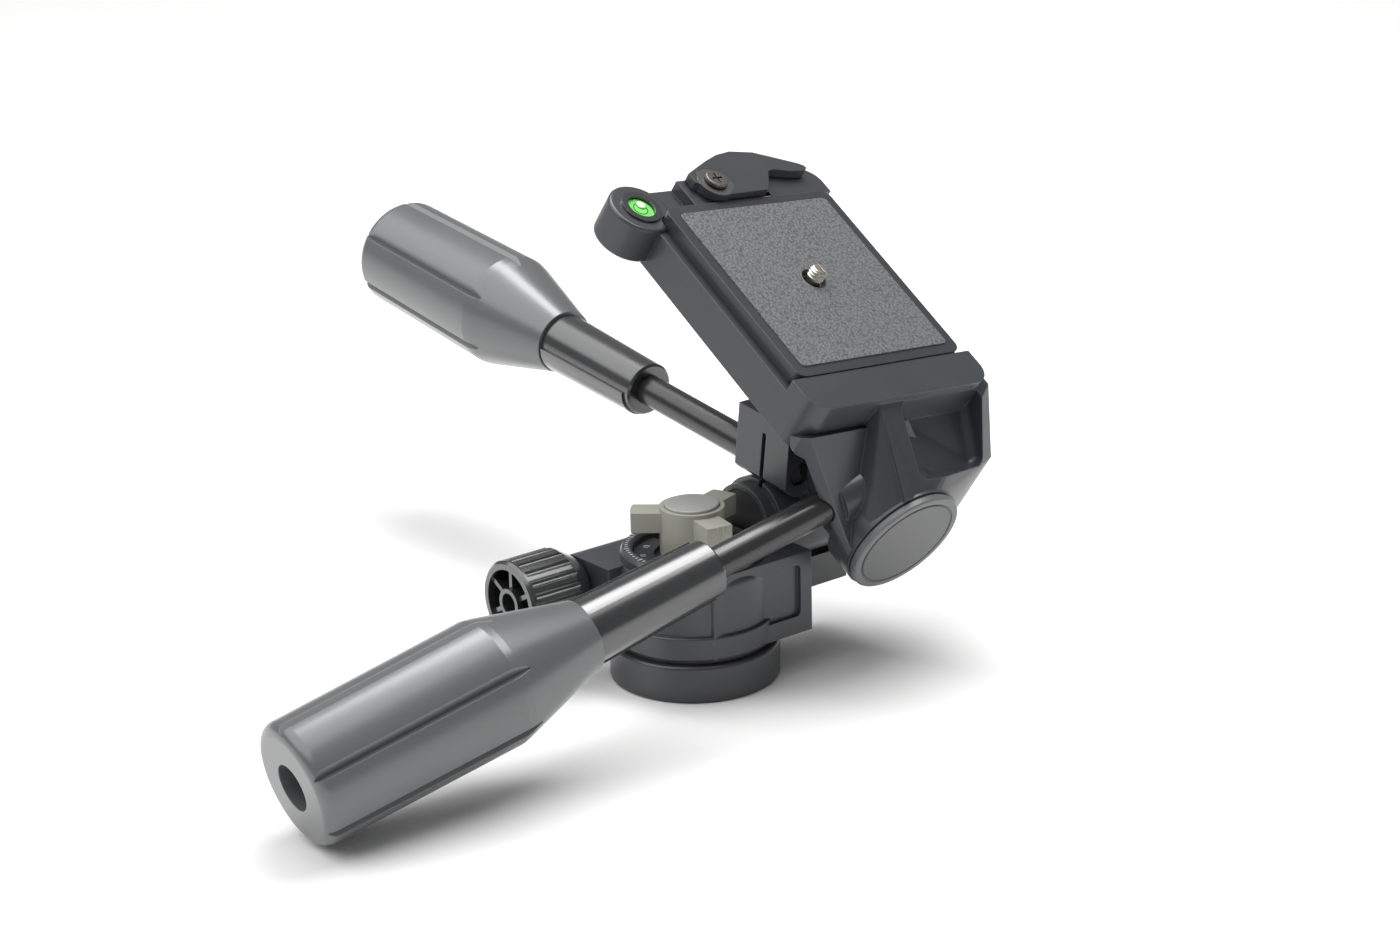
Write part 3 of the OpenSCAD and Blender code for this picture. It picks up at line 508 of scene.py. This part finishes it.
def rings_to_mesh(shape, rings, closed_ends=True):
    """Skins a list of rings, each a list of points, into a tube."""
    rows = [[shape.verts.new(point) for point in ring] for ring in rings]
    count = len(rows[0])
    for lower, upper in zip(rows, rows[1:]):
        for index in range(count):
            after = (index + 1) % count
            shape.faces.new((lower[index], lower[after], upper[after], upper[index]))
    if closed_ends:
        shape.faces.new(rows[0][::-1])
        shape.faces.new(rows[-1])


def round_point(reach, turn, z):
    """Point at a reach from the Z axis, with turn as a share of a full turn."""
    return (reach * math.cos(turn * math.tau), reach * math.sin(turn * math.tau), z)


def threaded_rod(radius, depth, pitch, bottom, top):
    """A rod whose radius follows a screw thread, with a chamfered tip."""
    flank, crest = 2.6, 0.35
    tip_depth, tip_slope = depth * 1.5, 1.2
    shape = bmesh.new()
    rings = []
    rows = int((top - bottom) / pitch * ROWS_PER_TURN)
    for row in range(rows + 1):
        z = bottom + (top - bottom) * row / rows
        chamfer = radius - tip_depth + (top - z) * tip_slope
        ring = []
        for step in range(ROUND_STEPS):
            turn = step / ROUND_STEPS
            phase = (z / pitch - turn) % 1.0
            groove = min(1.0, max(0.0, abs(phase - 0.5) * flank - crest))
            ring.append(round_point(min(radius - depth * groove, chamfer), turn, z))
        rings.append(ring)
    rings_to_mesh(shape, rings)
    return shape


def revolve(shape, profile, steps=ROUND_STEPS):
    """Turns a profile of (radius, height) points about Z, closing it where it meets the axis."""
    rows = []
    for radius, height in profile:
        if radius == 0:
            rows.append([shape.verts.new((0, 0, height))] * steps)
        else:
            rows.append([shape.verts.new(round_point(radius, step / steps, height)) for step in range(steps)])
    if profile[0] == profile[-1]:
        rows[-1] = rows[0]
    for lower, upper in zip(rows, rows[1:]):
        for index in range(steps):
            after = (index + 1) % steps
            corners = list(dict.fromkeys((lower[index], lower[after], upper[after], upper[index])))
            shape.faces.new(corners)


def lowest_reach(node, place):
    """Lowest reach of a node along a place's Z axis."""
    to_place = place.inverted()
    return min((to_place @ vertex.co).z for vertex in frame["nodes"][node].data.vertices)


def evaluated_mesh(thing):
    """Plain mesh of an object with its modifiers applied."""
    return bpy.data.meshes.new_from_object(thing.evaluated_get(bpy.context.evaluated_depsgraph_get()))


def solid_object(name, shape):
    """A loose helper object made of a bmesh, with its faces turned outwards."""
    bmesh.ops.recalc_face_normals(shape, faces=shape.faces)
    mesh = bpy.data.meshes.new(name)
    shape.to_mesh(mesh)
    shape.free()
    helper = bpy.data.objects.new(name, mesh)
    bpy.context.scene.collection.objects.link(helper)
    return helper


def cut_away(shape, tool):
    """Mesh of shape with tool cut out of it."""
    body, cutter = solid_object("cut_body", shape), solid_object("cut_tool", tool)
    cut = body.modifiers.new("cut", "BOOLEAN")
    cut.operation = "DIFFERENCE"
    cut.solver = "EXACT"
    cut.use_self = True
    cut.object = cutter
    mesh = evaluated_mesh(body)
    bpy.data.objects.remove(body)
    bpy.data.objects.remove(cutter)
    return mesh


class Graph:
    """A Geometry Nodes tree while it is put together, with its inputs by name."""

    def __init__(self, name):
        self.tree = bpy.data.node_groups.new(name, "GeometryNodeTree")
        self.tree.interface.new_socket("Geometry", in_out="INPUT", socket_type="NodeSocketGeometry")
        self.tree.interface.new_socket("Geometry", in_out="OUTPUT", socket_type="NodeSocketGeometry")
        self.start = self.tree.nodes.new("NodeGroupInput")
        self.end = self.tree.nodes.new("NodeGroupOutput")
        self.values = {}

    def input(self, name, kind, value):
        """Adds a named input with the value that this head uses."""
        socket = self.tree.interface.new_socket(name, in_out="INPUT", socket_type=kind)
        self.values[socket.identifier] = value
        return self.start.outputs[name]

    def add(self, kind, settings=None, *inputs, **named):
        """Adds a node and returns its outputs. Inputs are values or sockets, by place or name."""
        node = self.tree.nodes.new(kind)
        for key, value in (settings or {}).items():
            setattr(node, key, value)
        for key, value in by_place_or_name(inputs, named):
            if isinstance(value, bpy.types.NodeSocket):
                self.tree.links.new(value, node.inputs[key])
            else:
                node.inputs[key].default_value = value
        return node.outputs

    def finish(self, geometry, material, name, body):
        """Realizes the tree into a plain mesh piece that rides on a body."""
        real = self.add("GeometryNodeRealizeInstances", None, Geometry=geometry)["Geometry"]
        painted = self.add("GeometryNodeSetMaterial", None, Geometry=real, Material=material)["Geometry"]
        self.tree.links.new(painted, self.end.inputs["Geometry"])
        helper = bpy.data.objects.new(name, bpy.data.meshes.new(name))
        bpy.context.scene.collection.objects.link(helper)
        modifier = helper.modifiers.new(name, "NODES")
        modifier.node_group = self.tree
        for identifier, value in self.values.items():
            modifier[identifier] = value
        helper.update_tag()
        mesh = evaluated_mesh(helper)
        helper.modifiers.remove(modifier)
        bpy.data.objects.remove(helper)
        return mesh_object(name, mesh, material, body)


# --- operators ------------------------------------------------------------------------


class PANHEAD_OT_stage(bpy.types.Operator):
    """Sets up the camera, the plain floor and the soft studio light"""

    bl_idname = "pan_head.stage"
    bl_label = "Stage"

    def execute(self, context):
        stage = context.scene.pan_head_stage
        self.camera(context, stage)
        self.floor(stage)
        self.lights(context, stage)
        return {"FINISHED"}

    def camera(self, context, stage):
        """Camera solved from the photograph's ellipses and straight edges."""
        heading, pitch, roll = math.radians(38.64), math.radians(-18.97), math.radians(-1.19)
        forward = Vector((
            math.sin(heading) * math.cos(pitch), math.cos(heading) * math.cos(pitch), math.sin(pitch)
        ))
        level_right = Vector((math.cos(heading), -math.sin(heading), 0))
        level_up = level_right.cross(forward)
        right = level_right * math.cos(roll) + level_up * math.sin(roll)
        up = level_up * math.cos(roll) - level_right * math.sin(roll)
        data = bpy.data.cameras.new("camera")
        data.sensor_width = 36
        data.lens = stage.lens
        data.clip_start = 0.05
        camera = bpy.data.objects.new("camera", data)
        turn = Matrix((right, up, -forward)).transposed().to_4x4()
        place = Vector((-0.608, -0.7655, 0.412))
        camera.matrix_world = Matrix.Translation(place) @ turn
        context.scene.collection.objects.link(camera)
        context.scene.camera = camera

    def floor(self, stage):
        """Large plane under the base."""
        shape = bmesh.new()
        bmesh.ops.create_grid(shape, x_segments=2, y_segments=2, size=14)
        mesh = bpy.data.meshes.new("floor")
        shape.to_mesh(mesh)
        shape.free()
        floor = bpy.data.objects.new("floor", mesh)
        bpy.context.scene.collection.objects.link(floor)
        finish = Finish("pale_floor")
        mesh.materials.append(finish.surface(Base_Color=(*stage.floor, 1), Roughness=0.9))

    def lights(self, context, stage):
        """A wide overhead light that clears the floor to white, two softboxes and a dim surround."""
        world = bpy.data.worlds.new("studio")
        world.use_nodes = True
        background = world.node_tree.nodes["Background"]
        background.inputs["Color"].default_value = (1, 1, 1, 1)
        background.inputs["Strength"].default_value = stage.surround
        context.scene.world = world
        context.scene.view_settings.view_transform = "Standard"
        overhead = bpy.data.lights.new("overhead", "SUN")
        overhead.angle = math.radians(80)
        overhead.energy = stage.overhead
        self.lamp(context, overhead, Vector((-0.6, 0.35, 1.5)))
        for name, place, width, depth, power in (
            ("softbox", (0.3, 0.1, 1.05), 1.1, 0.35, 1.0),
            ("strip", (-0.9, 0.25, 0.45), 0.2, 0.9, 0.03),
        ):
            data = bpy.data.lights.new(name, "AREA")
            data.shape = "RECTANGLE"
            data.size, data.size_y = width, depth
            data.energy = stage.key_power * power
            self.lamp(context, data, Vector(place))

    def lamp(self, context, data, place):
        """Hangs a light at its place, turned to the middle of the head."""
        lamp = bpy.data.objects.new(data.name, data)
        middle = Vector((0.0, 0.0, 0.08))
        aim = (middle - place).to_track_quat("-Z", "Y")
        lamp.matrix_world = Matrix.Translation(place) @ aim.to_matrix().to_4x4()
        context.scene.collection.objects.link(lamp)


class PANHEAD_OT_finishes(bpy.types.Operator):
    """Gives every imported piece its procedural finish"""

    bl_idname = "pan_head.finishes"
    bl_label = "Finishes"

    def execute(self, context):
        finishes = make_finishes()
        given = set()
        for finish, names in NODE_FINISHES.items():
            for name in names:
                piece = frame["nodes"][name]
                for place in range(max(1, len(piece.material_slots))):
                    if len(piece.data.materials) <= place:
                        piece.data.materials.append(finishes[finish])
                    else:
                        piece.data.materials[place] = finishes[finish]
                given.add(name)
        left = set(frame["nodes"]) - given
        if left:
            raise RuntimeError(f"pieces without a finish: {sorted(left)}")
        return {"FINISHED"}


class PANHEAD_OT_camera_thread(bpy.types.Operator):
    """Makes the camera screw with its thread, head and screwdriver slot"""

    bl_idname = "pan_head.camera_thread"
    bl_label = "Camera screw thread"

    def execute(self, context):
        size = context.scene.pan_head_size
        base = joint_point("camera_screw_turn")
        place = placed(base, PLATFORM_UP, PLATFORM_RIGHT)
        low = lowest_reach("camera_screw", place)
        head = low + size.head_thickness
        shape = threaded_rod(
            size.screw_radius, size.thread_depth, size.thread_pitch, size.neck_height, size.screw_height
        )
        sunk = 0.2 * MM
        neck_low, neck_high = head - sunk, size.neck_height + sunk
        revolve(shape, [
            (0, neck_low), (size.neck_radius, neck_low), (size.neck_radius, neck_high), (0, neck_high),
        ])
        low_chamfer, high_chamfer = 0.5 * MM, 0.3 * MM
        revolve(shape, [
            (0, low), (size.head_radius - low_chamfer, low), (size.head_radius, low + low_chamfer),
            (size.head_radius, head - high_chamfer), (size.head_radius - high_chamfer, head), (0, head),
        ])
        slot = bmesh.new()
        slot_length = 9 * MM
        bmesh.ops.create_cube(slot, size=1)
        bmesh.ops.scale(slot, vec=(size.slot_width, slot_length, 2 * size.slot_depth), verts=slot.verts)
        bmesh.ops.translate(slot, vec=(0, 0, size.screw_height), verts=slot.verts)
        mesh = cut_away(shape, slot)
        mesh.transform(place)
        mesh.shade_flat()
        thread = mesh_object("camera_screw_thread", mesh, bpy.data.materials["bright_steel"], "camera_screw")
        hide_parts("camera_screw")
        return {"FINISHED"}


class PANHEAD_OT_tripod_thread(bpy.types.Operator):
    """Makes the brass insert with the tripod thread cut in its bore"""

    bl_idname = "pan_head.tripod_thread"
    bl_label = "Tripod thread"

    def execute(self, context):
        size = context.scene.pan_head_size
        outer, _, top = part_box("threaded_insert")[1]
        flank, mouth = 3, 0.9 * MM
        rows = int(top / size.tripod_pitch * ROWS_PER_TURN)
        rings = []
        for row in range(rows + 1):
            z = top * row / rows
            chamfer = max(0.0, mouth - z) + max(0.0, z - top + mouth)
            ring = []
            for step in range(ROUND_STEPS):
                turn = step / ROUND_STEPS
                cut = max(0.0, 1 - abs(((z / size.tripod_pitch - turn) % 1.0) - 0.5) * flank)
                ring.append(round_point(size.tripod_radius + max(cut * size.tripod_depth, chamfer), turn, z))
            rings.append(ring)
        for z in (top, 0.0):
            rings.append([round_point(outer, step / ROUND_STEPS, z) for step in range(ROUND_STEPS)])
        rings.append(rings[0])
        shape = bmesh.new()
        rings_to_mesh(shape, rings, closed_ends=False)
        bmesh.ops.remove_doubles(shape, verts=shape.verts, dist=1e-7)
        brass = bpy.data.materials["brass"]
        insert = from_bmesh("tripod_thread_insert", shape, Matrix.Identity(4), brass, "base", smooth=False)
        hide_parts("threaded_insert")
        return {"FINISHED"}


class PANHEAD_OT_dial(bpy.types.Operator):
    """Prints the scale and plain numbers round the pan dial"""

    bl_idname = "pan_head.dial"
    bl_label = "Dial scale"

    def execute(self, context):
        size = context.scene.pan_head_size
        ink = printed_ink("pale_ink", tuple(context.scene.pan_head_finish.marks))
        low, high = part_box("dial_ring")
        self.ticks(size, ink, -low[0], high[2])
        self.numbers(size, ink, low[2])
        return {"FINISHED"}

    def ticks(self, size, ink, outer, top):
        """Geometry Nodes ring of marks, sunk a little in the rim and left out beside the cheek."""
        sunk, long_every, short_share = 0.02 * MM, 6.0, 0.55
        tree = Graph("dial_scale")
        count = tree.input("Ticks", "NodeSocketInt", size.tick_count)
        radius = tree.input("Radius", "NodeSocketFloat", outer - size.tick_inset)
        long_mark = tree.input("Long mark", "NodeSocketFloat", size.tick_length)
        width = tree.input("Width", "NodeSocketFloat", size.tick_width)
        height = tree.input("Height", "NodeSocketFloat", top - sunk)
        edge = tree.input("Cheek edge", "NodeSocketFloat", size.tick_edge)
        ring = tree.add("GeometryNodeMeshCircle", None, Vertices=count, Radius=radius)["Mesh"]
        index = tree.add("GeometryNodeInputIndex")["Index"]
        spot = tree.add("GeometryNodeInputPosition")["Position"]
        side = tree.add("ShaderNodeSeparateXYZ", None, spot)["X"]
        below = {"data_type": "FLOAT", "operation": "LESS_THAN"}
        clear = tree.add("FunctionNodeCompare", below, side, edge)["Result"]
        since_long = tree.add("ShaderNodeMath", {"operation": "MODULO"}, index, long_every)["Value"]
        is_long = tree.add("ShaderNodeMath", {"operation": "LESS_THAN"}, since_long, 0.5)["Value"]
        shrink = tree.add("ShaderNodeMapRange", None, is_long, 0.0, 1.0, short_share, 1.0)["Result"]
        reach = tree.add("ShaderNodeMath", {"operation": "MULTIPLY"}, long_mark, shrink)["Value"]
        scale = tree.add("ShaderNodeCombineXYZ", None, reach, width, size.tick_height)["Vector"]
        bar = tree.add("GeometryNodeMeshCube", None, (1.0, 1.0, 1.0))["Mesh"]
        turn = tree.add("FunctionNodeAlignRotationToVector", {"axis": "X"}, Vector=spot)["Rotation"]
        marks = tree.add(
            "GeometryNodeInstanceOnPoints", None,
            Points=ring, Selection=clear, Instance=bar, Rotation=turn, Scale=scale,
        )["Instances"]
        lift = tree.add("ShaderNodeCombineXYZ", None, 0.0, 0.0, height)["Vector"]
        moved = tree.add("GeometryNodeTransform", None, Geometry=marks, Translation=lift)["Geometry"]
        scale_marks = tree.finish(moved, ink, "dial_scale_marks", "pan_body")

    def numbers(self, size, ink, face):
        """Plain numbers every thirty degrees, in tens, on the flat of the dial."""
        lift, relief = 0.02 * MM, 0.03 * MM
        parts = bmesh.new()
        for degrees in range(0, 360, 30):
            angle = math.radians(degrees)
            text = bpy.data.curves.new("number", "FONT")
            text.body = str(degrees // 10)
            text.size = size.number_height
            text.align_x, text.align_y = "CENTER", "CENTER"
            text.extrude = relief
            letter = bpy.data.objects.new("number", text)
            bpy.context.scene.collection.objects.link(letter)
            mesh = evaluated_mesh(letter)
            bpy.data.objects.remove(letter)
            spot = round_point(size.number_ring, degrees / 360, face + lift)
            mesh.transform(Matrix.Translation(spot) @ Matrix.Rotation(angle - math.pi / 2, 4, "Z"))
            parts.from_mesh(mesh)
            bpy.data.meshes.remove(mesh)
        numbers = from_bmesh("dial_numbers", parts, Matrix.Identity(4), ink, "pan_body", smooth=False)


class PANHEAD_OT_level(bpy.types.Operator):
    """Puts the bubble and its ring in the level's window"""

    bl_idname = "pan_head.level"
    bl_label = "Level bubble"

    def execute(self, context):
        size = context.scene.pan_head_size
        low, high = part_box("level_cover_ring")
        middle = (Vector(low) + Vector(high)) / 2
        place = placed(middle, PLATFORM_UP, PLATFORM_RIGHT)
        self.bubble(size, place)
        self.ring(size, place)
        return {"FINISHED"}

    def bubble(self, size, place):
        """Air bubble just under the window, a little off the middle."""
        radius = size.bubble_radius
        shape = bmesh.new()
        revolve(shape, [
            (0, -0.75 * MM), (radius * 0.8, -0.7 * MM), (radius, -0.5 * MM), (radius * 0.9, -0.3 * MM),
            (radius * 0.5, -0.14 * MM), (0, -0.1 * MM),
        ], steps=40)
        aside = place @ Matrix.Translation((size.bubble_right, size.bubble_rear, 0))
        bubble = from_bmesh("level_air_bubble", shape, aside, clear_bubble("air_bubble"), "platform")

    def ring(self, size, place):
        """Dark ring that the bubble sits in when the platform is level."""
        inner = size.bubble_radius * 1.35
        outer = inner + size.ring_width
        low, high = -0.85 * MM, -0.68 * MM
        shape = bmesh.new()
        revolve(shape, [(inner, low), (outer, low), (outer, high), (inner, high), (inner, low)])
        ink = bpy.data.materials["dark_cap"]
        mark = from_bmesh("level_centre_ring", shape, place, ink, "platform", smooth=False)


class PANHEAD_PT_panel(bpy.types.Panel):
    """Lists the steps, sizes and colours of the head"""

    bl_idname = "PANHEAD_PT_panel"
    bl_label = "Pan and Tilt Head"
    bl_space_type = "VIEW_3D"
    bl_region_type = "UI"
    bl_category = "Pan Head"

    def draw(self, context):
        for step in STEPS:
            self.layout.operator(step.bl_idname)
        for group in (
            context.scene.pan_head_finish, context.scene.pan_head_size, context.scene.pan_head_stage
        ):
            box = self.layout.box()
            for name in group.__annotations__:
                box.prop(group, name)


STEPS = (
    PANHEAD_OT_stage,
    PANHEAD_OT_finishes,
    PANHEAD_OT_camera_thread,
    PANHEAD_OT_tripod_thread,
    PANHEAD_OT_dial,
    PANHEAD_OT_level,
)
GROUPS = {
    "pan_head_finish": PanHeadFinish,
    "pan_head_size": PanHeadSize,
    "pan_head_stage": PanHeadStage,
}


def register():
    for group in (*GROUPS.values(), *STEPS, PANHEAD_PT_panel):
        bpy.utils.register_class(group)
    for name, group in GROUPS.items():
        setattr(bpy.types.Scene, name, bpy.props.PointerProperty(type=group))


def unregister():
    for name in GROUPS:
        delattr(bpy.types.Scene, name)
    for group in (PANHEAD_PT_panel, *reversed(STEPS), *GROUPS.values()):
        bpy.utils.unregister_class(group)


def main():
    register()
    for step in STEPS:
        area, name = step.bl_idname.split(".")
        getattr(getattr(bpy.ops, area), name)()


if __name__ == "__main__":
    main()
